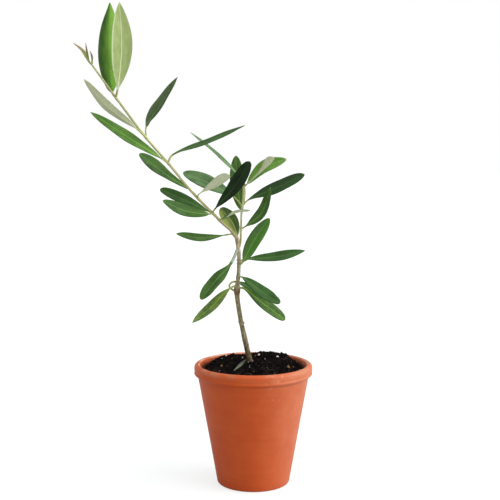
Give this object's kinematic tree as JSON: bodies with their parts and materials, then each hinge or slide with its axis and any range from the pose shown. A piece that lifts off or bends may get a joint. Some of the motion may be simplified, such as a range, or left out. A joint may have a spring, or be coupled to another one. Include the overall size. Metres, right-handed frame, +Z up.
{
  "type": "potted young olive tree",
  "caption": "Young olive tree with one leaning leader, a side shoot and narrow leathery leaves in pairs, growing in compost in a small round terracotta pot with a rolled rim.",
  "frame": {"origin": "centre of the pot's flat underside", "axes": "+Z up, the front looks along -Y, +X to the right seen from the front; the leader leans to -X"},
  "size_m": [0.2145, 0.11, 0.4405],
  "materials": {
    "terracotta": "dry unglazed terracotta, fine turning lines, a little salt bloom on the rim",
    "compost": "damp dark peaty compost with crumbs, fibres and white perlite",
    "bark": "smooth grey-olive young bark, browner at the knot",
    "shoot": "smooth tan-yellow shoot, greener towards its tip",
    "leaf": "leathery leaf, dark satin green above, pale grey-green below",
    "young_leaf": "unopened leaflets, olive green to pinkish tan",
    "dry_leaf": "shed leaf, dull pale grey-green"
  },
  "bodies": {
    "root": {"pot": "terracotta", "soil": "compost", "trunk": "bark", "leader": "shoot", "side_shoot": "shoot", "foliage_trunk_1": "leaf", "foliage_trunk_2": "leaf", "foliage_trunk_3": "leaf", "foliage_trunk_4": "leaf", "foliage_fork": "leaf", "foliage_leader_1": "leaf", "foliage_leader_2": "leaf", "foliage_leader_3": "leaf", "foliage_leader_4": "leaf", "foliage_leader_5": "leaf", "foliage_leader_6": "leaf", "foliage_side_shoot_1": "leaf", "foliage_side_shoot_2": "leaf", "foliage_side_shoot_3": "leaf", "leader_tip": "young_leaf", "fallen_leaf": "dry_leaf"}
  },
  "joints": []
}
